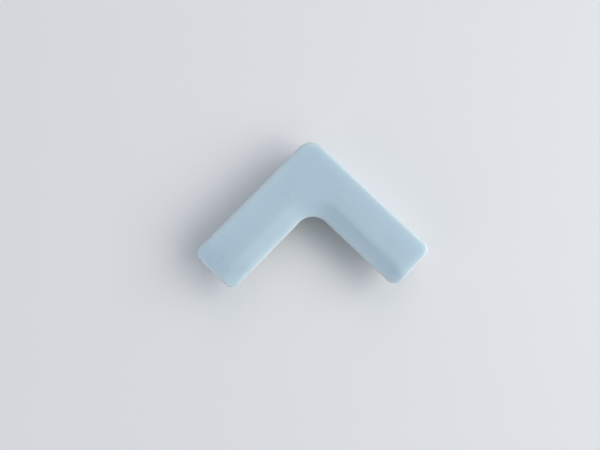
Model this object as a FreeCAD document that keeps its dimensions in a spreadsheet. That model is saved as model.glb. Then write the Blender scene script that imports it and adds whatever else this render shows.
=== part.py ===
import FreeCAD, Part
import math
import os

import Sketcher
from FreeCAD import Rotation, Vector

# A soft moulded guard for the corner of a table.  Seen from above it is a chevron: two arms at
# right angles.  Seen from an arm's end it is an angle section: a flange that lies on the table
# top and a skirt that hangs down the table's edge.  Four foam tapes hold it on, and each tape is
# covered by a release liner until the guard is fitted.
#
# Frame, in millimetres: the origin is where the corner of the table top goes.  The table fills
# the space where x, y and z are all negative.  The left arm runs along -X, the right along -Y.

DIMENSIONS = (
    # alias, value, what it measures
    ("arm_length", 60.0, "outer corner to the end of an arm"),
    ("arm_width", 19.0, "outer face of the skirt to the edge of the lip"),
    ("skirt_thickness", 4.2, "wall that covers the table's edge"),
    ("skirt_depth", 10.8, "table top to the skirt's rim"),
    ("flange_thickness", 4.2, "wall that lies on the table top"),
    ("outer_corner_radius", 6.1, "vertical edge at the corner"),
    ("inner_corner_radius", 6.9, "crook of the chevron"),
    ("arm_end_radius", 3.1, "vertical edges at the arms' ends"),
    ("seat_corner_radius", 1.5, "inside of the skirt, round the table's corner"),
    ("bevel_width", 6.2, "slope down to the lip, seen from above"),
    ("bevel_drop", 2.0, "height that this slope loses"),
    ("crease_radius", 6.5, "soft creases where the slopes start"),
    ("end_slope_length", 6.0, "gentle fall towards the end of an arm"),
    ("end_slope_drop", 0.62, "height that this fall loses"),
    ("outer_edge_radius", 1.4, "top edge of the skirt's outer face"),
    ("lip_edge_radius", 0.8, "upper edge of the lip and of the arms' ends"),
    ("lip_seat_radius", 0.6, "lower edge of the lip"),
    ("rim_radius", 0.9, "both edges of the skirt's rim"),
    ("channel_depth", 0.8, "recess that a tape is bonded in"),
    ("channel_clearance", 0.3, "wall of the recess to the tape"),
    ("foam_thickness", 0.8, "foam carrier of a tape"),
    ("adhesive_thickness", 0.1, "each adhesive coat of a tape"),
    ("liner_thickness", 0.1, "release liner"),
    ("liner_corner_radius", 1.6, "corners of the liner's pull tab"),
    ("tape_end_margin", 6.0, "end of the arm to the end of a tape"),
    ("liner_end_margin", 0.4, "end of the arm to the end of a pull tab"),
    ("top_tape_width", 9.0, "tape under the flange"),
    ("top_tape_middle", 7.5, "skirt to the middle of this tape"),
    ("top_tape_start", 13.8, "corner of the table to the start of this tape"),
    ("side_tape_width", 5.6, "tape inside the skirt"),
    ("side_tape_middle", 6.0, "table top to the middle of this tape"),
    ("side_tape_start", 6.3, "corner of the table to the start of this tape"),
)

SHEET_NAME = "Dimensions"
CUT_PAST = 1.0  # how far a cut runs past the solid that it cuts


def dim(alias):
    """The expression that reads one driving dimension."""
    return SHEET_NAME + "." + alias


ARM_END = "(%s - %s)" % (dim("skirt_thickness"), dim("arm_length"))
LIP_EDGE = "(%s - %s)" % (dim("skirt_thickness"), dim("arm_width"))


def make_sheet(doc):
    sheet = doc.addObject("Spreadsheet::Sheet", SHEET_NAME)
    for row, (alias, value, meaning) in enumerate(DIMENSIONS, start=1):
        sheet.set("A%d" % row, alias)
        sheet.set("B%d" % row, str(value))
        sheet.set("C%d" % row, meaning)
        sheet.setAlias("B%d" % row, alias)
    doc.recompute()
    return sheet


# ---- sketches -------------------------------------------------------------------------------

def make_body(doc, name):
    body = doc.addObject("PartDesign::Body", name)
    body.Label = name
    doc.recompute()
    return body


def make_sketch(body, name, role):
    """A sketch on one of the body's own origin planes."""
    plane = [item for item in body.Origin.OriginFeatures if item.Role == role][0]
    sketch = body.newObject("Sketcher::SketchObject", name)
    sketch.AttachmentSupport = [(plane, "")]
    sketch.MapMode = "FlatFace"
    return sketch


def fix(sketch, kind, geometry, corner, expression):
    """Hold a point of the sketch at a distance from its origin."""
    place = sketch.addConstraint(Sketcher.Constraint(kind, -1, 1, geometry, corner, 1.0))
    sketch.setExpression("Constraints[%d]" % place, expression)


def polygon(sketch, corners):
    """A closed outline of straight lines; each corner is a pair of expressions."""
    count = len(corners)
    draft = [Vector(10 * index, 7 * index * index, 0) for index in range(count)]
    for index in range(count):
        sketch.addGeometry(Part.LineSegment(draft[index], draft[(index + 1) % count]))
    for index in range(count):
        sketch.addConstraint(Sketcher.Constraint("Coincident", index, 2, (index + 1) % count, 1))
    for index, (across, up) in enumerate(corners):
        fix(sketch, "DistanceX", index, 1, across)
        fix(sketch, "DistanceY", index, 1, up)


def rectangle(sketch, low_x, low_y, high_x, high_y):
    polygon(sketch, [(low_x, low_y), (high_x, low_y), (high_x, high_y), (low_x, high_y)])


def crook_path(sketch, corner, end, radius):
    """Line, arc, line: along one arm, round the crook and along the other arm."""
    start_size = {"corner": -20.0, "end": -50.0, "radius": 5.0}
    middle = start_size["corner"] - start_size["radius"]
    first = Part.LineSegment(
        Vector(start_size["end"], start_size["corner"], 0),
        Vector(middle, start_size["corner"], 0),
    )
    circle = Part.Circle(Vector(middle, middle, 0), Vector(0, 0, 1), start_size["radius"])
    last = Part.LineSegment(
        Vector(start_size["corner"], middle, 0),
        Vector(start_size["corner"], start_size["end"], 0),
    )
    sketch.addGeometry(first)
    sketch.addGeometry(Part.ArcOfCircle(circle, 0, math.pi / 2))
    sketch.addGeometry(last)
    sketch.addConstraint(Sketcher.Constraint("Tangent", 0, 2, 1, 2))
    sketch.addConstraint(Sketcher.Constraint("Tangent", 1, 1, 2, 1))
    sketch.addConstraint(Sketcher.Constraint("Horizontal", 0))
    sketch.addConstraint(Sketcher.Constraint("Vertical", 2))
    place = sketch.addConstraint(Sketcher.Constraint("Radius", 1, start_size["radius"]))
    sketch.setExpression("Constraints[%d]" % place, radius)
    fix(sketch, "DistanceX", 0, 1, end)
    fix(sketch, "DistanceY", 0, 1, corner)
    fix(sketch, "DistanceX", 2, 2, corner)
    fix(sketch, "DistanceY", 2, 2, end)


# ---- features -------------------------------------------------------------------------------

def pad(body, sketch, name, up, down=None):
    """Extrude along the sketch's normal by up, and the other way by down if it is given."""
    feature = body.newObject("PartDesign::Pad", name)
    feature.Profile = sketch
    feature.setExpression("Length", up)
    if down:
        feature.SideType = "Two sides"
        feature.setExpression("Length2", down)
    body.Document.recompute()


def check_cut(body, name, before):
    body.Document.recompute()
    if body.Shape.Volume > before - CUT_PAST:
        raise RuntimeError(name + " cuts nothing")


def pocket(body, sketch, name, depth, along_normal):
    """Cut the sketch into the body, along the sketch's normal or against it."""
    body.Document.recompute()
    before = body.Shape.Volume
    feature = body.newObject("PartDesign::Pocket", name)
    feature.Profile = sketch
    feature.Reversed = along_normal
    feature.setExpression("Length", depth)
    check_cut(body, name, before)


def pocket_through(body, sketch, name):
    """Cut the sketch right through the body, both ways."""
    body.Document.recompute()
    before = body.Shape.Volume
    feature = body.newObject("PartDesign::Pocket", name)
    feature.Profile = sketch
    feature.Type = "ThroughAll"
    feature.Midplane = True
    check_cut(body, name, before)


def sweep_cut(body, profile, path, name):
    """Cut the profile out of the body all along the path."""
    body.Document.recompute()
    before = body.Shape.Volume
    feature = body.newObject("PartDesign::SubtractivePipe", name)
    feature.Profile = profile
    feature.Spine = (path, [])
    check_cut(body, name, before)


def edge_middle(edge):
    return edge.valueAt((edge.FirstParameter + edge.LastParameter) / 2)


def lean_of_faces(shape, edge):
    """How far the faces beside an edge look up, as the heights of their normals, lowest first."""
    middle = edge_middle(edge)
    heights = []
    for face in shape.ancestorsOfType(edge, Part.Face):
        across, along = face.Surface.parameter(middle)
        heights.append(face.normalAt(across, along).z)
    return sorted(heights)


def round_edges(body, name, radius, wanted):
    """A fillet on the edges whose ends and middle all satisfy the test."""
    names = []
    for index, edge in enumerate(body.Shape.Edges, start=1):
        points = [vertex.Point for vertex in edge.Vertexes] + [edge_middle(edge)]
        if all(wanted(point) for point in points):
            names.append("Edge%d" % index)
    add_fillet(body, name, radius, names)


def add_fillet(body, name, radius, names):
    if not names:
        raise RuntimeError(name + " finds no edge")
    base = body.Tip
    feature = body.newObject("PartDesign::Fillet", name)
    feature.Base = (base, names)
    feature.setExpression("Radius", radius)
    body.Document.recompute()


def near(a, b):
    return abs(a - b) < 1e-4


# ---- the moulded guard ----------------------------------------------------------------------

class Walls:
    """Where the guard's faces lie, read from the sheet, so that edges can be picked by place."""

    def __init__(self, sheet):
        self.outer = sheet.skirt_thickness
        self.arm_end = sheet.skirt_thickness - sheet.arm_length
        self.lip = sheet.skirt_thickness - sheet.arm_width
        self.rim = -sheet.skirt_depth
        self.crook_radius = sheet.inner_corner_radius
        self.crook_centre = self.lip - sheet.inner_corner_radius
        self.end_radius = sheet.arm_end_radius

    def on_lip(self, point):
        straight = near(point.x, self.lip) or near(point.y, self.lip)
        reach = math.hypot(point.x - self.crook_centre, point.y - self.crook_centre)
        return straight or near(reach, self.crook_radius)


def blank_plan(body, walls):
    """The chevron, as thick as the whole guard, with its vertical edges rounded."""
    plan = make_sketch(body, "plan", "XY_Plane")
    outer = dim("skirt_thickness")
    polygon(plan, [
        (outer, outer),
        (outer, ARM_END),
        (LIP_EDGE, ARM_END),
        (LIP_EDGE, LIP_EDGE),
        (ARM_END, LIP_EDGE),
        (ARM_END, outer),
    ])
    pad(body, plan, "blank", dim("flange_thickness"), dim("skirt_depth"))

    def arm_corner(point):
        sides = (walls.outer, walls.lip)
        left = near(point.x, walls.arm_end) and any(near(point.y, side) for side in sides)
        right = near(point.y, walls.arm_end) and any(near(point.x, side) for side in sides)
        return left or right

    round_edges(body, "outer_corner", dim("outer_corner_radius"),
                lambda point: near(point.x, walls.outer) and near(point.y, walls.outer))
    round_edges(body, "inner_corner", dim("inner_corner_radius"),
                lambda point: near(point.x, walls.lip) and near(point.y, walls.lip))
    round_edges(body, "arm_corners", dim("arm_end_radius"), arm_corner)


def table_space(body):
    """Take away what the table fills: the flange and the skirt are left."""
    space = make_sketch(body, "table_plan", "XY_Plane")
    past = "%s - %g" % (ARM_END, CUT_PAST)
    rectangle(space, past, past, "0", "0")
    pocket(body, space, "table_space", "%s + %g" % (dim("skirt_depth"), CUT_PAST), False)
    round_edges(body, "seat_corner", dim("seat_corner_radius"),
                lambda point: near(point.x, 0) and near(point.y, 0) and point.z < CUT_PAST)


def bevel(body):
    """The slope that thins the flange towards its lip, swept round the crook."""
    past = "%s - %g" % (ARM_END, CUT_PAST)
    path = make_sketch(body, "lip_path", "XY_Plane")
    crook_path(path, LIP_EDGE, past, dim("inner_corner_radius"))
    profile = make_sketch(body, "bevel_profile", "YZ_Plane")
    profile.setExpression("AttachmentOffset.Base.z", past)
    width = dim("bevel_width")
    drop = dim("bevel_drop")
    top = dim("flange_thickness")
    beside = "%s - %g" % (LIP_EDGE, CUT_PAST)
    above = "%s + %g" % (top, CUT_PAST)
    polygon(profile, [
        (beside, "%s - %s * (1 + %g / %s)" % (top, drop, CUT_PAST, width)),
        ("%s + %s * (1 + %g / %s)" % (LIP_EDGE, width, CUT_PAST, drop), above),
        (beside, above),
    ])
    sweep_cut(body, profile, path, "bevel")


def end_slopes(body):
    """The top falls a little towards the end of each arm."""
    top = dim("flange_thickness")
    past = "%s - %g" % (ARM_END, CUT_PAST)
    fall = "%s * (1 + %g / %s)" % (dim("end_slope_drop"), CUT_PAST, dim("end_slope_length"))
    for side, role in (("left", "XZ_Plane"), ("right", "YZ_Plane")):
        profile = make_sketch(body, side + "_slope_profile", role)
        polygon(profile, [
            (past, "%s - %s" % (top, fall)),
            ("%s + %s" % (ARM_END, dim("end_slope_length")), top),
            (past, top),
        ])
        pocket_through(body, profile, side + "_end_slope")


def soft_creases(body):
    """Round every edge between two parts of the top, which both look nearly straight up."""
    upward = 0.9
    shape = body.Shape
    names = []
    for index, edge in enumerate(shape.Edges, start=1):
        if lean_of_faces(shape, edge)[0] > upward:
            names.append("Edge%d" % index)
    add_fillet(body, "soft_creases", dim("crease_radius"), names)


def tape_channels(body):
    """Four recesses for the tapes, each open at the end of its arm."""
    past = "%s - %g" % (ARM_END, CUT_PAST)
    clear = dim("channel_clearance")

    def span(face):
        half = "(%s / 2 + %s)" % (dim(face + "_tape_width"), clear)
        middle = dim(face + "_tape_middle")
        return "-%s - %s" % (middle, half), "-%s + %s" % (middle, half)

    def begin(face):
        return "-%s + %s" % (dim(face + "_tape_start"), clear)

    low, high = span("top")
    for side in ("left", "right"):
        plan = make_sketch(body, side + "_flange_channel_plan", "XY_Plane")
        if side == "left":
            rectangle(plan, past, low, begin("top"), high)
        else:
            rectangle(plan, low, past, high, begin("top"))
        pocket(body, plan, side + "_flange_channel", dim("channel_depth"), True)

    low, high = span("side")
    for side, role, along_normal in (("left", "XZ_Plane", False), ("right", "YZ_Plane", True)):
        plan = make_sketch(body, side + "_skirt_channel_plan", role)
        rectangle(plan, past, low, begin("side"), high)
        pocket(body, plan, side + "_skirt_channel", dim("channel_depth"), along_normal)


def lower_edges(body, walls):
    """Round the underside of the lip and the rim that the skirt ends in."""
    round_edges(body, "lip_underside", dim("lip_seat_radius"),
                lambda point: near(point.z, 0) and walls.on_lip(point))
    round_edges(body, "rim", dim("rim_radius"), lambda point: near(point.z, walls.rim))


def upper_edges(doc, moulding, sheet, walls):
    """Round every edge between the guard's walls and its top, each with its own radius."""
    shape = moulding.Shape
    radii = []
    for index, edge in enumerate(shape.Edges, start=1):
        lean = lean_of_faces(shape, edge)
        middle = edge_middle(edge)
        if not near(lean[0], 0) or lean[-1] < 0.5 or middle.z < CUT_PAST:
            continue
        at_arm_end = min(middle.x, middle.y) < walls.arm_end + walls.end_radius
        outside = max(middle.x, middle.y) > 0 and not at_arm_end
        radius = sheet.outer_edge_radius if outside else sheet.lip_edge_radius
        radii.append((index, radius, radius))
    rounded = doc.addObject("Part::Fillet", "guard_body")
    rounded.Label = "guard_body"
    rounded.Base = moulding
    rounded.Edges = radii
    doc.recompute()
    return rounded


def guard(doc, sheet):
    walls = Walls(sheet)
    body = make_body(doc, "guard_moulding")
    blank_plan(body, walls)
    table_space(body)
    bevel(body)
    end_slopes(body)
    soft_creases(body)
    lower_edges(body, walls)
    tape_channels(body)
    return upper_edges(doc, body, sheet, walls)


# ---- the tapes and their liners -------------------------------------------------------------

AXIS_X = Vector(1, 0, 0)
AXIS_Y = Vector(0, 1, 0)
AXIS_Z = Vector(0, 0, 1)

BONDING_FACES = (
    # name, tape, along the arm, from the first edge to the tape's middle, out of the guard
    ("top_left", "top", -AXIS_X, -AXIS_Y, -AXIS_Z),
    ("top_right", "top", -AXIS_Y, -AXIS_X, -AXIS_Z),
    ("side_left", "side", -AXIS_X, -AXIS_Z, -AXIS_Y),
    ("side_right", "side", -AXIS_Y, -AXIS_Z, -AXIS_X),
)

TAPE_LAYERS = (
    # name, thickness, margin at the end of the arm; listed outwards from the guard
    ("guard_side_adhesive", "adhesive_thickness", "tape_end_margin"),
    ("foam_tape", "foam_thickness", "tape_end_margin"),
    ("table_side_adhesive", "adhesive_thickness", "tape_end_margin"),
    ("release_liner", "liner_thickness", "liner_end_margin"),
)


def place(piece, along, inward, outward, middle, lift):
    """Turn a strip to its bonding face and set it at its distance from the first edge."""
    turn = Rotation(along, outward.cross(along), outward, "XYZ")
    piece.Placement = FreeCAD.Placement(Vector(0, 0, 0), turn)
    for axis in ("x", "y", "z"):
        step_in = getattr(inward, axis)
        step_out = getattr(outward, axis)
        if step_in:
            piece.setExpression("Placement.Base." + axis, "%g * %s" % (step_in, middle))
        if step_out:
            piece.setExpression("Placement.Base." + axis, "%g * (%s)" % (step_out, lift))


def strip(doc, name, tape, thickness, end_margin):
    """A flat strip along X that rises from Z = 0, with its middle line on the X axis."""
    body = make_body(doc, name)
    plan = make_sketch(body, "plan_" + name, "XY_Plane")
    half = "%s / 2" % dim(tape + "_tape_width")
    end = "%s - %s - %s" % (dim("arm_length"), dim("skirt_thickness"), dim(end_margin))
    rectangle(plan, dim(tape + "_tape_start"), "-" + half, end, half)
    pad(body, plan, "layer_" + name, dim(thickness))
    return body


def round_tab(liner, sheet):
    end = sheet.arm_length - sheet.skirt_thickness - sheet.liner_end_margin
    round_edges(liner, "tab_" + liner.Label, dim("liner_corner_radius"),
                lambda point: near(point.x, end) and not near(point.y, 0))


def taped_face(doc, sheet, face):
    """The laminate on one bonding face: adhesive, foam, adhesive and release liner."""
    name, tape, along, inward, outward = face
    layers = []
    lift = "-" + dim("channel_depth")
    for layer, thickness, end_margin in TAPE_LAYERS:
        body = strip(doc, name + "_" + layer, tape, thickness, end_margin)
        if layer == "release_liner":
            round_tab(body, sheet)
        place(body, along, inward, outward, dim(tape + "_tape_middle"), lift)
        lift += " + " + dim(thickness)
        layers.append(body)
    return layers


# ---- checking and writing -------------------------------------------------------------------

def check(doc, pieces):
    for item in doc.Objects:
        if "Invalid" in item.State or "Error" in item.State:
            raise RuntimeError(item.Label + " failed to compute")
    for piece in pieces:
        shape = piece.Shape
        if shape.isNull() or not shape.isValid() or len(shape.Solids) != 1:
            raise RuntimeError(piece.Label + " is not one sound solid")
        print("%-34s %10.2f mm3" % (piece.Label, shape.Volume))


def main():
    doc = FreeCAD.newDocument("table_corner_guard")
    sheet = make_sheet(doc)
    pieces = [guard(doc, sheet)]
    for face in BONDING_FACES:
        pieces.extend(taped_face(doc, sheet, face))
    doc.recompute()
    check(doc, pieces)
    os.makedirs("parts", exist_ok=True)
    for piece in pieces:
        piece.Shape.exportStep("parts/" + piece.Label + ".step")


main()
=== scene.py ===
import math

import bmesh
import bpy
import numpy as np
from mathutils import Matrix, Vector, noise


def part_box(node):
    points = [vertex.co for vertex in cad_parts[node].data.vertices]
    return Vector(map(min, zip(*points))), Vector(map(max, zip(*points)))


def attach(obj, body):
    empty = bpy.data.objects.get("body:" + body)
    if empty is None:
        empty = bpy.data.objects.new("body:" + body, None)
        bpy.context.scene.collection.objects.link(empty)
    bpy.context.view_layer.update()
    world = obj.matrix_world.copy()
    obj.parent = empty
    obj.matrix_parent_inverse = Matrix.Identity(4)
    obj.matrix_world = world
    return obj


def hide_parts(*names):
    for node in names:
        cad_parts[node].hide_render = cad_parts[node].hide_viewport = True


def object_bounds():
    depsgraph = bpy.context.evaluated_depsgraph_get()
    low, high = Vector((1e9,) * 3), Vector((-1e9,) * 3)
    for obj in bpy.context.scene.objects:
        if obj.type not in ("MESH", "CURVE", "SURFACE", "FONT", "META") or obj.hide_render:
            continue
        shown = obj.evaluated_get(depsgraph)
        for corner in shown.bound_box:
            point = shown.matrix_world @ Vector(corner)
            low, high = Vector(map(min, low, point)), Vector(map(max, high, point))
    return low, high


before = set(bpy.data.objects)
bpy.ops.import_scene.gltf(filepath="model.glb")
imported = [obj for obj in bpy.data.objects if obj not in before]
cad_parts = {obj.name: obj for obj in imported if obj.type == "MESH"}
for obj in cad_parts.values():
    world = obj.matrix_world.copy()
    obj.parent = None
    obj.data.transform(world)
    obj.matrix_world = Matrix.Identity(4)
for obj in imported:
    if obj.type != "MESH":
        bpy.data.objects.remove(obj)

# A soft silicone guard for a table corner, lying on its rim.  Its four foam tapes are bonded in
# their recesses and still covered by their release liners.  Blender's lengths are metres; the
# shapes below are worked out in millimetres, and MM turns them into metres.

MM = 0.001
CAD_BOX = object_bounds()
OUTER = CAD_BOX[1].x / MM        # outer faces of the skirt
TOP = CAD_BOX[1].z / MM
ARM_END = CAD_BOX[0].x / MM
RIM = CAD_BOX[0].z / MM
ARM_WIDTH = 19.0                 # outer face to the lip's edge
LIP = OUTER - ARM_WIDTH
CORNER_RADIUS = 6.1
CROOK_RADIUS = 6.9
CROOK_CENTRE = LIP - CROOK_RADIUS

# The camera looks almost straight down, with the crook of the chevron towards the bottom of the
# picture, so the picture's up is the direction from the crook to the outer corner.
CAMERA_PLACE = Vector((-40.7, -22.1, 156.85)) * MM
CAMERA_TARGET = Vector((-20.8, -15.2, -10.8)) * MM
CAMERA_UP = Vector((0.7145, 0.6904, 0.1131))
CAMERA_LENS = 26.0
SENSOR_WIDTH = 36.0
PICTURE_RIGHT = Vector((1, -1, 0)).normalized()
PICTURE_UP = Vector((1, 1, 0)).normalized()

LIGHT_DISTANCE = 2.5       # metres from the guard's middle
LIGHTS = (
    # name, azimuth and elevation in degrees, width and height in metres, watts, colour
    ("window", 0, 37, (3.2, 1.9), 60.0, (1.0, 0.985, 0.975)),
    ("wall", 78, 42, (1.8, 2.0), 12.0, (1.0, 0.80, 0.70)),
    ("room", 208, 24, (1.6, 1.2), 6.5, (1.0, 0.82, 0.94)),
    ("fill", 300, 38, (1.4, 1.1), 4.8, (1.0, 0.95, 0.85)),
)
SKY_COLOUR = (0.66, 0.84, 1.0, 1)
SKY_STRENGTH = 0.37

FLOOR_HALF = 2.0           # metres from the middle to a side
FLOOR_GAP = 0.02           # millimetres from the rim down to the floor


# ---- camera, light and floor ----------------------------------------------------------------

def add_camera():
    data = bpy.data.cameras.new("camera")
    data.lens = CAMERA_LENS
    data.sensor_width = SENSOR_WIDTH
    data.clip_start = 5 * MM
    camera = bpy.data.objects.new("camera", data)
    look = (CAMERA_TARGET - CAMERA_PLACE).normalized()
    right = look.cross(CAMERA_UP).normalized()
    up = right.cross(look)
    turn = Matrix((right, up, -look)).transposed()
    camera.matrix_world = Matrix.Translation(CAMERA_PLACE) @ turn.to_4x4()
    bpy.context.collection.objects.link(camera)
    bpy.context.scene.camera = camera


def sky_direction(azimuth, elevation):
    """Towards a light: azimuth 0 is the picture's right and 90 its top."""
    turn = math.radians(azimuth)
    rise = math.radians(elevation)
    flat = PICTURE_RIGHT * math.cos(turn) + PICTURE_UP * math.sin(turn)
    return flat * math.cos(rise) + Vector((0, 0, math.sin(rise)))


def area_light(name, azimuth, elevation, size, power, colour):
    """A soft panel that faces the guard from LIGHT_DISTANCE away."""
    data = bpy.data.lights.new(name, "AREA")
    data.shape = "RECTANGLE"
    data.size = size[0]
    data.size_y = size[1]
    data.energy = power
    data.color = colour
    lamp = bpy.data.objects.new(name, data)
    towards = sky_direction(azimuth, elevation)
    lamp.location = (CAD_BOX[0] + CAD_BOX[1]) / 2 + towards * LIGHT_DISTANCE
    lamp.rotation_mode = "QUATERNION"
    lamp.rotation_quaternion = towards.to_track_quat("Z", "Y")
    bpy.context.collection.objects.link(lamp)


def studio():
    scene = bpy.context.scene
    scene.view_settings.view_transform = "Standard"
    world = bpy.data.worlds.new("room")
    world.use_nodes = True
    background = world.node_tree.nodes["Background"]
    background.inputs["Color"].default_value = SKY_COLOUR
    background.inputs["Strength"].default_value = SKY_STRENGTH
    scene.world = world
    for light in LIGHTS:
        area_light(*light)


def floor():
    """A pale sheet under the rim, which can be looked through from below."""
    half = FLOOR_HALF
    low = CAD_BOX[0].z - FLOOR_GAP * MM
    mesh = bpy.data.meshes.new("floor")
    corners = [(-half, -half, low), (half, -half, low), (half, half, low), (-half, half, low)]
    mesh.from_pydata(corners, [], [(0, 1, 2, 3)])
    item = bpy.data.objects.new("floor", mesh)
    bpy.context.collection.objects.link(item)
    material, tree, shader = principled("floor", (0.80, 0.80, 0.80), 0.6)
    output = tree.nodes["Material Output"]
    behind = node(tree, "NewGeometry").outputs["Backfacing"]
    clear = node(tree, "BsdfTransparent").outputs[0]
    both = node(tree, "MixShader", {0: behind, 1: shader.outputs[0], 2: clear})
    tree.links.new(both.outputs[0], output.inputs["Surface"])
    mesh.materials.append(material)


# ---- materials ------------------------------------------------------------------------------

def principled(name, colour, roughness):
    material = bpy.data.materials.new(name)
    material.use_nodes = True
    tree = material.node_tree
    shader = tree.nodes["Principled BSDF"]
    shader.inputs["Base Color"].default_value = (*colour, 1)
    shader.inputs["Roughness"].default_value = roughness
    return material, tree, shader


def node(tree, kind, inputs=None, **settings):
    """Add a node; each input is a plain value or another node's output."""
    item = tree.nodes.new("ShaderNode" + kind)
    for key, value in settings.items():
        setattr(item, key, value)
    for socket, value in (inputs or {}).items():
        if isinstance(value, bpy.types.NodeSocket):
            tree.links.new(value, item.inputs[socket])
        else:
            item.inputs[socket].default_value = value
    return item


def grain(tree, place, size, detail=2.0):
    """Noise from 0 to 1 whose lumps are about as large as size, in millimetres."""
    scale = 1 / (size * MM)
    inputs = {"Vector": place, "Scale": scale, "Detail": detail}
    return node(tree, "TexNoise", inputs).outputs["Fac"]


def spread(tree, value, low, high, new_low, new_high):
    """Stretch part of a value's range to a new range, with soft ends."""
    inputs = {"Value": value, "From Min": low, "From Max": high}
    inputs.update({"To Min": new_low, "To Max": new_high})
    return node(tree, "MapRange", inputs, interpolation_type="SMOOTHSTEP").outputs[0]


def blend_colours(tree, share, first, second):
    """Mix two colours, each plain or another node's output.

    The Mix node keeps sockets for every kind of data, so its colours have the numbers 6 and 7.
    """
    mix = node(tree, "Mix", data_type="RGBA")
    for index, value in ((0, share), (6, first), (7, second)):
        if isinstance(value, bpy.types.NodeSocket):
            tree.links.new(value, mix.inputs[index])
        elif index:
            mix.inputs[index].default_value = (*value, 1)
        else:
            mix.inputs[index].default_value = value
    return mix.outputs[2]


def product(tree, first, second):
    return node(tree, "Math", {0: first, 1: second}, operation="MULTIPLY").outputs[0]


def relief(tree, height, depth, below=None):
    """Turn a height from 0 to 1 into a bump that is as deep as depth, in millimetres."""
    inputs = {"Height": height, "Distance": depth * MM, "Strength": 1.0}
    if below:
        inputs["Normal"] = below
    return node(tree, "Bump", inputs).outputs["Normal"]


def speck(tree, place, centre, size):
    """From 1 inside a small irregular spot to 0 outside it."""
    wobble = node(tree, "TexNoise", {"Vector": place, "Scale": WOBBLE_SCALE}).outputs["Color"]
    shift = node(tree, "VectorMath", {0: wobble, 1: (0.5, 0.5, 0.5)}, operation="SUBTRACT")
    warp_inputs = {0: shift.outputs[0], "Scale": WOBBLE_SIZE * MM}
    warp = node(tree, "VectorMath", warp_inputs, operation="SCALE")
    moved = node(tree, "VectorMath", {0: place, 1: warp.outputs[0]}, operation="ADD")
    middle = tuple(value * MM for value in centre)
    inputs = {0: moved.outputs[0], 1: middle}
    away = node(tree, "VectorMath", inputs, operation="DISTANCE").outputs["Value"]
    core, rim = (share * size * MM for share in SPECK_FADE)
    return spread(tree, away, core, rim, 1.0, 0.0)


def streak(tree, place, start, end, width):
    """From 1 along a straight faint mark to 0 beside it."""
    first = Vector(start) * MM
    run = Vector(end) * MM - first
    offset = node(tree, "VectorMath", {0: place, 1: first}, operation="SUBTRACT").outputs[0]
    scaled = run / run.length_squared
    inputs = {0: offset, 1: scaled}
    share = node(tree, "VectorMath", inputs, operation="DOT_PRODUCT").outputs["Value"]
    held = node(tree, "Clamp", {"Value": share}).outputs[0]
    along = node(tree, "VectorMath", {0: run, "Scale": held}, operation="SCALE").outputs[0]
    away = node(tree, "VectorMath", {0: offset, 1: along}, operation="DISTANCE").outputs["Value"]
    return spread(tree, away, STREAK_CORE * width * MM, width * MM, 1.0, 0.0)


WOBBLE_SCALE = 2500.0      # how fine a speck's ragged outline is, waves to the metre
WOBBLE_SIZE = 0.5          # and how ragged, in millimetres
SPECK_FADE = (0.45, 1.15)  # shares of its radius at which a speck starts to fade and is gone
STREAK_CORE = 0.2           # share of its half width that a streak has in full

# the dark colour of dust specks, also used for the painted shade at the arms' ends
DUST_AND_SHADE = (0.13, 0.15, 0.15)
# the pale colour of the scuffs, also used for the painted highlight on the left arm's end edge
CHAFED_AND_HIGHLIGHT = (0.70, 0.78, 0.82)
BLUES = ((0.498, 0.623, 0.702), (0.514, 0.636, 0.710))
PALE_FLECK = (0.534, 0.650, 0.720)
# painted glow: a pale tint for the upper edges, standing in for their glow and highlights
EDGE_GLOW_TINT = (0.54, 0.617, 0.628)

SPECKS_AND_SHADE_PATCHES = (
    # centre of a speck of dust or of a patch of painted shade, its radius, how strong it is;
    # millimetres
    ((-17.5, -5.3, TOP), 0.36, 0.34),
    ((-49.3, -4.4, TOP), 0.36, 0.30),
    ((-50.0, -4.3, TOP), 0.20, 0.18),
    ((-55.7, 1.0, 3.2), 0.65, 0.50),
    ((-55.1, -13.2, 1.5), 0.60, 0.45),
    # painted shade: faint darker patches at the arms' ends
    ((-51.0, -7.0, TOP), 11.0, 0.035),
    ((-50.5, -12.5, 2.5), 6.0, 0.06),
    ((-6.0, -55.5, 3.5), 8.0, 0.025),
    ((-12.5, -52.8, 2.5), 3.6, 0.045),
)

SCUFFS_AND_HIGHLIGHT = (
    # start and end of a faint pale mark, its half width, how strong it is; millimetres
    ((-0.8, -16.6, TOP), (-1.9, -17.6, TOP), 0.30, 0.22),
    ((-3.6, -18.5, TOP), (-3.6, -21.0, TOP), 0.45, 0.16),
    ((-3.6, -21.0, TOP), (-4.3, -23.6, TOP), 0.45, 0.16),
    ((-4.3, -23.6, TOP), (-5.4, -25.9, TOP), 0.45, 0.12),
    # painted highlight: a pale band along the left arm's end edge
    ((ARM_END + 0.3, 1.5, 3.2), (ARM_END + 0.3, -10.0, 2.9), 0.9, 0.40),
)


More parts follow.
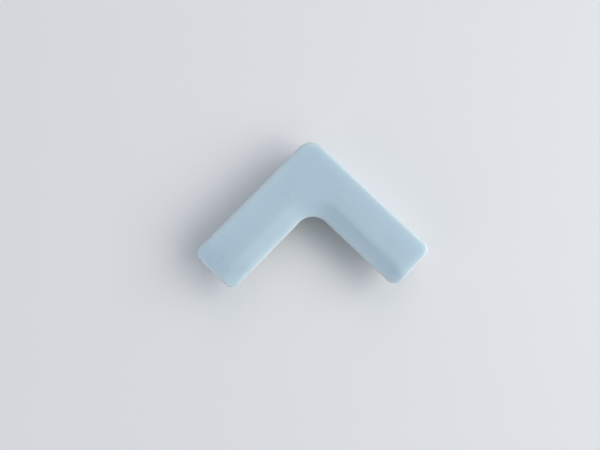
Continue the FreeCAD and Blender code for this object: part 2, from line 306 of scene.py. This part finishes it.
def silicone():
    """Milky blue elastomer: light goes in and comes out again, so edges glow and look paler. The
    upper edges also get a pale tint, a painted glow.
    """
    material, tree, shader = principled("silicone", (0.49, 0.62, 0.705), 0.45)
    place = node(tree, "TexCoord").outputs["Object"]
    clouds = spread(tree, grain(tree, place, 11.0, 3.0), 0.3, 0.7, 0.0, 1.0)
    colour = blend_colours(tree, clouds, *BLUES)
    flecks = spread(tree, grain(tree, place, 1.3, 3.0), 0.35, 0.75, 0.0, 0.35)
    colour = blend_colours(tree, flecks, colour, PALE_FLECK)
    # painted glow: the upper edges are tinted paler, standing in for their glow and highlights
    glow_share = node(tree, "Attribute", attribute_name="glow_share").outputs["Fac"]
    colour = blend_colours(tree, glow_share, colour, EDGE_GLOW_TINT)
    # pale scuffs lighten the colour, and so does the painted highlight along the left arm's end
    # edge
    for start, end, width, strength in SCUFFS_AND_HIGHLIGHT:
        mark = product(tree, streak(tree, place, start, end, width), strength)
        colour = blend_colours(tree, mark, colour, CHAFED_AND_HIGHLIGHT)
    # dust specks darken the colour, and so do the patches of painted shade at the arms' ends
    for centre, size, strength in SPECKS_AND_SHADE_PATCHES:
        dust_and_shade = product(tree, speck(tree, place, centre, size), strength)
        colour = blend_colours(tree, dust_and_shade, colour, DUST_AND_SHADE)
    tree.links.new(colour, shader.inputs["Base Color"])
    satin = spread(tree, grain(tree, place, 3.0, 4.0), 0.3, 0.7, 0.40, 0.52)
    tree.links.new(satin, shader.inputs["Roughness"])
    peel = relief(tree, grain(tree, place, 1.6, 2.0), 0.010)
    fine = relief(tree, grain(tree, place, 0.22, 2.0), 0.003, peel)
    tree.links.new(fine, shader.inputs["Normal"])
    shader.inputs["IOR"].default_value = 1.41
    shader.inputs["Subsurface Weight"].default_value = 1.0
    shader.inputs["Subsurface Radius"].default_value = (1.0, 1.0, 1.0)
    shader.inputs["Subsurface Scale"].default_value = 6.0 * MM
    return material


FOAM_CELL = 0.22           # millimetres across a cut cell
FIBRE_SIZE = 0.5           # millimetres between the liner paper's fibres


def foam():
    """White closed-cell foam, whose cut cells show at the strip's sides."""
    material, tree, shader = principled("foam", (0.86, 0.86, 0.83), 0.85)
    place = node(tree, "TexCoord").outputs["Object"]
    cells = node(tree, "TexVoronoi", {"Vector": place, "Scale": 1 / (FOAM_CELL * MM)})
    walls = spread(tree, cells.outputs["Distance"], 0.15, 0.75, 0.0, 1.0)
    dull = spread(tree, grain(tree, place, 4.0, 3.0), 0.3, 0.7, 0.0, 0.5)
    colour = blend_colours(tree, walls, (0.80, 0.80, 0.77), (0.92, 0.92, 0.90))
    colour = blend_colours(tree, dull, colour, (0.83, 0.82, 0.77))
    tree.links.new(colour, shader.inputs["Base Color"])
    tree.links.new(relief(tree, walls, 0.015), shader.inputs["Normal"])
    rough = spread(tree, walls, 0.0, 1.0, 0.95, 0.75)
    tree.links.new(rough, shader.inputs["Roughness"])
    shader.inputs["Subsurface Weight"].default_value = 0.6
    shader.inputs["Subsurface Radius"].default_value = (1.0, 0.95, 0.9)
    shader.inputs["Subsurface Scale"].default_value = 1.2 * MM
    return material


def adhesive():
    """A tacky acrylic coat as it looks on white foam: pale, glossy and rippled by the cells."""
    material, tree, shader = principled("adhesive", (0.85, 0.84, 0.78), 0.2)
    place = node(tree, "TexCoord").outputs["Object"]
    pools = spread(tree, grain(tree, place, 2.2, 3.0), 0.35, 0.65, 0.0, 1.0)
    colour = blend_colours(tree, pools, (0.85, 0.845, 0.79), (0.895, 0.89, 0.85))
    tree.links.new(colour, shader.inputs["Base Color"])
    wet = spread(tree, grain(tree, place, 0.9, 3.0), 0.3, 0.7, 0.12, 0.34)
    tree.links.new(wet, shader.inputs["Roughness"])
    ripples = relief(tree, grain(tree, place, 0.5, 2.0), 0.02)
    tree.links.new(relief(tree, pools, 0.02, ripples), shader.inputs["Normal"])
    return material


def liner():
    """Siliconised paper: cream, smooth and a little cloudy, with short darker fibres in it."""
    material, tree, shader = principled("liner", (0.87, 0.83, 0.70), 0.42)
    place = node(tree, "TexCoord").outputs["Object"]
    clouds = spread(tree, grain(tree, place, 1.8, 5.0), 0.3, 0.7, 0.0, 1.0)
    colour = blend_colours(tree, clouds, (0.83, 0.79, 0.65), (0.89, 0.86, 0.74))
    inputs = {"Vector": place, "Scale": 1 / (FIBRE_SIZE * MM), "Distortion": 6.0}
    inputs["Detail"] = 3.0
    fibres = spread(tree, node(tree, "TexNoise", inputs).outputs["Fac"], 0.52, 0.62, 0.0, 0.25)
    colour = blend_colours(tree, fibres, colour, (0.74, 0.68, 0.52))
    tree.links.new(colour, shader.inputs["Base Color"])
    gloss = spread(tree, clouds, 0.0, 1.0, 0.36, 0.50)
    tree.links.new(gloss, shader.inputs["Roughness"])
    tree.links.new(relief(tree, fibres, 0.01), shader.inputs["Normal"])
    shader.inputs["Subsurface Weight"].default_value = 0.5
    shader.inputs["Subsurface Radius"].default_value = (1.0, 0.9, 0.75)
    shader.inputs["Subsurface Scale"].default_value = 0.5 * MM
    return material


# ---- mesh helpers ---------------------------------------------------------------------------

def points_of(mesh):
    """The vertices, in millimetres."""
    flat = np.empty(len(mesh.vertices) * 3)
    mesh.vertices.foreach_get("co", flat)
    return flat.reshape(-1, 3) / MM


def normals_of(mesh):
    flat = np.empty(len(mesh.vertices) * 3)
    mesh.vertex_normals.foreach_get("vector", flat)
    return flat.reshape(-1, 3)


def put_back(mesh, points):
    mesh.vertices.foreach_set("co", (points * MM).ravel())
    mesh.polygons.foreach_set("use_smooth", [True] * len(mesh.polygons))
    mesh.update()


def ramp(value, low, high):
    """0 up to low, 1 from high on, and a smooth rise between them."""
    share = np.clip((value - low) / (high - low), 0, 1)
    return share * share * (3 - 2 * share)


def hump(value, middle, width):
    return np.exp(-((value - middle) / width) ** 2)


def finish_piece(piece, body, cad_node, material):
    piece.data.materials.clear()
    piece.data.materials.append(material)
    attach(piece, body)
    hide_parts(cad_node)


# ---- the moulded guard ----------------------------------------------------------------------

GUARD_CELL = 0.3 * MM      # the even mesh's squares
CROWN = 0.13               # how far the flange's flat part falls towards the bevel
CROWN_START = 4.0          # from the outer face to the highest line of the flange
UPPER = (0.3, 1.4)         # heights between which the changes to the top set in
BEVEL_WIDTH = 6.2
BEVEL_DROP = 2.0
CREASE = ARM_WIDTH - BEVEL_WIDTH   # from the outer face to the bevel's start
ENDS = (
    # axis of the arm, how far its soft end rises from the mould's shape, over what length, and
    # the power of the curve it rises by; millimetres
    (0, -0.50, 9.0, 2),
    (1, 0.32, 6.0, 1),
)
WAVES = ((14.0, 0.030), (5.0, 0.008))   # length and height of its unevenness
NOISE_STEP = 31.7          # sets one wave's pattern apart from the next one's
PARTING_HEIGHT = 0.05
PARTING_WIDTH = 0.28
PARTING_ABOVE_RIM = 1.1
PARTING_AT_LIP = 0.8       # height of the line along the lip
UPRIGHT = (0.6, 0.9)       # how upright a wall is where its line starts and is whole
NEAR_WALL = 0.4
GATE = (-6.6, -6.6)        # under the flange, where the silicone came in
FACING_DOWN = -0.5         # the underside's normals have a lower z than this
UNDERSIDE_LOW = -1.0       # and the flange's underside is higher than this
GATE_RADIUS = 1.6
GATE_DEPTH = 0.28
GATE_SLOPE = 0.5           # width of the dimple's sloping wall
NUB_RADIUS = 0.55
NUB_SLOPE = (0.3, 0.1)     # the nub's slope, inside and outside its radius
NUB_HEIGHT = 0.2
FLASH = (-16.6, -17.2, 1.5)   # a scrap of flash at the crook
FLASH_SIZE = 0.4
FLASH_HEIGHT = 0.1
GLOW_REACH = 1.4            # how far in from an edge the painted glow reaches, as a paler tint
LIP_FADE = 2.2             # how much faster that fades at the lip, which is thicker


def even_copy(cad_node, name, cell):
    """A CAD node's surface as small even squares that still lie on it."""
    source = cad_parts[cad_node]
    piece = bpy.data.objects.new(name, source.data.copy())
    bpy.context.collection.objects.link(piece)
    even = piece.modifiers.new("even", "REMESH")
    even.mode = "VOXEL"
    even.voxel_size = cell
    even.adaptivity = 0.0
    back = piece.modifiers.new("back", "SHRINKWRAP")
    back.target = source
    back.wrap_method = "NEAREST_SURFACEPOINT"
    ease = piece.modifiers.new("ease", "SMOOTH")
    ease.factor = 0.5
    ease.iterations = 2
    bpy.context.view_layer.update()
    shown = piece.evaluated_get(bpy.context.evaluated_depsgraph_get())
    mesh = bpy.data.meshes.new_from_object(shown)
    piece.modifiers.clear()
    piece.data = mesh
    mesh.name = name
    return piece


def inset_from(points):
    """From the outer faces of the skirt inwards, seen from above, round the corner as well."""
    corner = points[:, :2] - (OUTER - CORNER_RADIUS)
    round_corner = CORNER_RADIUS - np.hypot(corner[:, 0], corner[:, 1])
    straight = CORNER_RADIUS - corner.max(axis=1)
    return np.where(corner.min(axis=1) > 0, round_corner, straight)


def inset_from_lip(points):
    """From the lip's edge outwards, seen from above, round the crook as well."""
    across = points[:, :2] - CROOK_CENTRE
    round_crook = np.hypot(across[:, 0], across[:, 1]) - CROOK_RADIUS
    straight = across.max(axis=1) - CROOK_RADIUS
    return np.where(across.min(axis=1) > 0, round_crook, straight)


def soften_top(points):
    """The flange is slightly crowned; the left arm's end droops, and the right one's is level."""
    upper = ramp(points[:, 2], *UPPER)
    fall = np.clip((inset_from(points) - CROWN_START) / (CREASE - CROWN_START), 0, 1)
    points[:, 2] -= upper * CROWN * fall ** 2
    for axis, lift, length, power in ENDS:
        share = np.clip(1 - (points[:, axis] - ARM_END) / length, 0, 1)
        points[:, 2] += upper * lift * share ** power


def unevenness(points, normals):
    """Long shallow waves all over, as a soft moulding has."""
    height = np.zeros(len(points))
    for order, (length, size) in enumerate(WAVES):
        offset = Vector((NOISE_STEP * order, 0, 0))
        for index, point in enumerate(points):
            height[index] += size * noise.noise(Vector(point) / length + offset)
    points += normals * height[:, None]


def parting_lines(points, normals):
    """A fine ridge where the mould's halves met: above the rim and along the lip."""
    upright = ramp(1 - np.abs(normals[:, 2]), *UPRIGHT)
    outside = hump(points[:, 2], RIM + PARTING_ABOVE_RIM, PARTING_WIDTH)
    outside *= inset_from(points) < NEAR_WALL
    along_lip = hump(points[:, 2], PARTING_AT_LIP, PARTING_WIDTH)
    along_lip *= inset_from_lip(points) < NEAR_WALL
    points += normals * (PARTING_HEIGHT * upright * (outside + along_lip))[:, None]


def gate_mark(points, normals):
    """A shallow dimple with the torn-off gate's nub in it, under the flange."""
    under = (normals[:, 2] < FACING_DOWN) & (points[:, 2] > UNDERSIDE_LOW)
    away = np.hypot(points[:, 0] - GATE[0], points[:, 1] - GATE[1])
    dimple = GATE_DEPTH * (1 - ramp(away, GATE_RADIUS - GATE_SLOPE, GATE_RADIUS))
    nub_edge = ramp(away, NUB_RADIUS - NUB_SLOPE[0], NUB_RADIUS + NUB_SLOPE[1])
    nub = NUB_HEIGHT * (1 - nub_edge)
    points[:, 2] += under * (dimple - nub)


def flash_at_crook(points, normals):
    """A low bump on the lip's edge, where a scrap of flash was left."""
    away = np.linalg.norm(points - np.array(FLASH), axis=1)
    points += normals * (FLASH_HEIGHT * hump(away, 0, FLASH_SIZE))[:, None]


def mark_glowing_edges(mesh, points):
    """An attribute that is 1 at the upper edges and fades inwards, for the pale tint that paints
    a glow on them.
    """
    to_end = points[:, :2].min(axis=1) - ARM_END
    from_lip = LIP_FADE * inset_from_lip(points)
    away = np.minimum(np.minimum(inset_from(points), from_lip), to_end)
    upper_face = TOP - BEVEL_DROP * np.clip(1 - inset_from_lip(points) / BEVEL_WIDTH, 0, 1)
    below = upper_face - points[:, 2]
    distance = np.clip(away, 0, None) + np.clip(below, 0, None)
    layer = mesh.attributes.new("glow_share", "FLOAT", "POINT")
    layer.data.foreach_set("value", np.exp(-distance / GLOW_REACH))


def moulded_guard(material):
    piece = even_copy("guard_body", "moulded_guard", GUARD_CELL)
    mesh = piece.data
    points = points_of(mesh)
    normals = normals_of(mesh)
    soften_top(points)
    unevenness(points, normals)
    parting_lines(points, normals)
    gate_mark(points, normals)
    flash_at_crook(points, normals)
    points[:, 2] = np.maximum(points[:, 2], RIM)
    put_back(mesh, points)
    mark_glowing_edges(mesh, points)
    finish_piece(piece, "guard", "guard_body", material)


# ---- tapes and liners -----------------------------------------------------------------------

AXIS_X = Vector((1, 0, 0))
AXIS_Y = Vector((0, 1, 0))
AXIS_Z = Vector((0, 0, 1))

FACES = {
    # bonding face: along the arm, across the tape, out of the guard
    "top_left": (-AXIS_X, -AXIS_Y, -AXIS_Z),
    "top_right": (-AXIS_Y, -AXIS_X, -AXIS_Z),
    "side_left": (-AXIS_X, -AXIS_Z, -AXIS_Y),
    "side_right": (-AXIS_Y, -AXIS_Z, -AXIS_X),
}

LAYER_GAP = 0.005          # keeps neighbouring layers' faces apart
ARC_STEPS = 3              # straight pieces in a section's rounded corner
SHARP_ANGLE = 50           # degrees; a steeper edge is shaded as an edge
SEEDS = (3.1, 17, 29)      # turn a strip's place and directions into its own noise pattern

# Each layer's mesh: length of a cell along the strip, cells across it, cells in its thickness and
# the radius of its edges.
FOAM_MESH = (0.3, 14, 6, 0.06)
FILM_MESH = (0.6, 12, 2, 0.03)
LINER_MESH = (0.8, 10, 1, 0.02)

CUT_DEPTH = 0.3            # how far in the foam's cut sides are worked
HOLLOW = 0.06              # how far they pull in halfway up
PIT_DEPTH = 0.12
PIT_LENGTH = 0.35
SWAY = 0.05                # how far the cut strays from a straight line
SWAY_LENGTH = 5.0

FILM_SET_IN = 0.12         # from the foam's edge to the film's
RAGGED = 0.08              # how uneven the film's edge is
RAGGED_LENGTH = 1.4
OUTSIDE_NOISE = 9          # far enough across for the two edges to differ

TAB_RADIUS = 1.6
TAB_STEPS = 7
CURL = 0.95                # how far the tab's tip stands off
CURL_START = 1.0           # how far before the tape's end the liner starts to lift
CUPPING = 0.25             # how far the tab's sides lift above its middle
CRINKLE = 0.05
CRINKLE_LENGTH = 3.0
FLAT_CRINKLE = 0.25        # share of the crinkle where the liner is stuck down


class Layer:
    """One layer of a tape: where it lies, in millimetres, in its bonding face's directions."""

    def __init__(self, face, cad_node):
        self.along, self.across, self.outward = FACES[face]
        self.cad_node = cad_node
        self.start, self.end = self.span(self.along)
        low, high = self.span(self.across)
        self.middle = (low + high) / 2
        self.half = (high - low) / 2
        bottom, top = self.span(self.outward)
        self.bottom = bottom + LAYER_GAP
        self.top = top - LAYER_GAP

    def span(self, direction):
        low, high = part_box(self.cad_node)
        return sorted((low.dot(direction) / MM, high.dot(direction) / MM))

    def place(self, along, across, outward):
        flat = self.along * along + self.across * (self.middle + across)
        return (flat + self.outward * outward) * MM


def rounded_loop(layer, across_cells, upright_cells, radius):
    """A strip's section, once round: each point is its place across and its height."""
    inner = layer.half - radius
    low = layer.bottom + radius
    high = layer.top - radius
    corners = ((inner, low, -90), (inner, high, 0), (-inner, high, 90), (-inner, low, 180))

    def on_arc(corner, share):
        angle = math.radians(corner[2] + 90 * share)
        return (corner[0] + radius * math.cos(angle), corner[1] + radius * math.sin(angle))

    loop = []
    for index, corner in enumerate(corners):
        following = corners[(index + 1) % 4]
        loop.extend(on_arc(corner, step / ARC_STEPS) for step in range(ARC_STEPS + 1))
        first, last = loop[-1], on_arc(following, 0)
        cells = across_cells if index % 2 else upright_cells
        for step in range(1, cells):
            share = step / cells
            loop.append(tuple(a + (b - a) * share for a, b in zip(first, last)))
    return loop


def strip(name, layer, stations, loop, shape):
    """A closed strip: its section at every station, each point moved by shape."""
    mesh = bpy.data.meshes.new(name)
    work = bmesh.new()
    rings = []
    for along in stations:
        ring = [work.verts.new(layer.place(*shape(along, *point))) for point in loop]
        rings.append(ring)
    count = len(loop)
    for ring, following in zip(rings, rings[1:]):
        for index in range(count):
            beside = (index + 1) % count
            work.faces.new((ring[index], ring[beside], following[beside], following[index]))
    work.faces.new(rings[0])
    work.faces.new(rings[-1])
    bmesh.ops.recalc_face_normals(work, faces=work.faces)
    work.to_mesh(mesh)
    work.free()
    piece = bpy.data.objects.new(name, mesh)
    bpy.context.collection.objects.link(piece)
    mesh.polygons.foreach_set("use_smooth", [True] * len(mesh.polygons))
    mesh.set_sharp_from_angle(angle=math.radians(SHARP_ANGLE))
    return piece


def even_stations(start, end, step):
    count = max(2, round((end - start) / step))
    return [start + (end - start) * index / count for index in range(count + 1)]


def wander(layer, along, across, size, length):
    """Smooth noise with its own pattern on each strip."""
    seed = layer.middle * SEEDS[0] + layer.along.x * SEEDS[1] + layer.outward.z * SEEDS[2]
    return size * noise.noise(Vector((along / length, across / length, seed)))


def foam_strip(name, layer):
    """Foam core: its cut faces are pitted and pull in a little halfway up."""
    middle = (layer.bottom + layer.top) / 2
    half_height = (layer.top - layer.bottom) / 2
    half_way = (layer.start + layer.end) / 2

    def shape(along, across, outward):
        level = 1 - ((outward - middle) / half_height) ** 2
        at_side = ramp(abs(across), layer.half - CUT_DEPTH, layer.half)
        pits = abs(wander(layer, along, outward * 2, PIT_DEPTH, PIT_LENGTH))
        inward = (HOLLOW + pits) * level * at_side
        sway = wander(layer, along, 0, SWAY, SWAY_LENGTH)
        at_end = float(along in (layer.start, layer.end))
        shorter = HOLLOW * level * at_end * math.copysign(1, half_way - along)
        return along + shorter, across - math.copysign(inward, across) + sway, outward

    step, *section = FOAM_MESH
    stations = even_stations(layer.start, layer.end, step)
    return strip(name, layer, stations, rounded_loop(layer, *section), shape)


def film_strip(name, layer):
    """An adhesive coat: a film with slightly ragged edges, set in from the foam's."""

    def shape(along, across, outward):
        edge = math.copysign(OUTSIDE_NOISE, across)
        ragged = wander(layer, along, edge, RAGGED, RAGGED_LENGTH)
        share = (layer.half - FILM_SET_IN + ragged) / layer.half
        return along, across * share, outward

    step, *section = FILM_MESH
    stations = even_stations(layer.start + FILM_SET_IN, layer.end - FILM_SET_IN, step)
    return strip(name, layer, stations, rounded_loop(layer, *section), shape)


def liner_strip(name, layer, tape_end):
    """A release liner: flat over the tape, with a round-cornered tab that curls off the end."""
    tab = layer.end - tape_end

    def half_at(along):
        into = along - (layer.end - TAB_RADIUS)
        if into <= 0:
            return layer.half
        return layer.half - TAB_RADIUS + math.sqrt(max(TAB_RADIUS ** 2 - into ** 2, 0))

    def shape(along, across, outward):
        past = max(0.0, (along - tape_end + CURL_START) / (tab + CURL_START))
        curl = CURL * past ** 2 + CUPPING * past * (across / layer.half) ** 2
        crinkle = abs(wander(layer, along, across, CRINKLE, CRINKLE_LENGTH))
        crinkle *= FLAT_CRINKLE + past
        return along, across * half_at(along) / layer.half, outward + curl + crinkle

    step, *section = LINER_MESH
    stations = even_stations(layer.start, layer.end - TAB_RADIUS, step)
    for index in range(1, TAB_STEPS + 1):
        turn = math.pi / 2 * index / TAB_STEPS
        stations.append(layer.end - TAB_RADIUS + TAB_RADIUS * math.sin(turn))
    return strip(name, layer, stations, rounded_loop(layer, *section), shape)


def taped_face(face, foam_material, adhesive_material, liner_material):
    """The tape on one bonding face, from the guard outwards, and its liner."""
    for side in ("guard_side", "table_side"):
        cad_node = "%s_%s_adhesive" % (face, side)
        piece = film_strip("%s_%s_film" % (face, side), Layer(face, cad_node))
        finish_piece(piece, "guard", cad_node, adhesive_material)
    core = Layer(face, face + "_foam_tape")
    piece = foam_strip(face + "_foam_core", core)
    finish_piece(piece, "guard", core.cad_node, foam_material)
    cover = Layer(face, face + "_release_liner")
    piece = liner_strip(face + "_liner_paper", cover, core.end)
    finish_piece(piece, face + "_liner", cover.cad_node, liner_material)


# ---- making it all --------------------------------------------------------------------------

add_camera()
studio()
floor()
moulded_guard(silicone())
tape_materials = (foam(), adhesive(), liner())
for bonding_face in FACES:
    taped_face(bonding_face, *tape_materials)
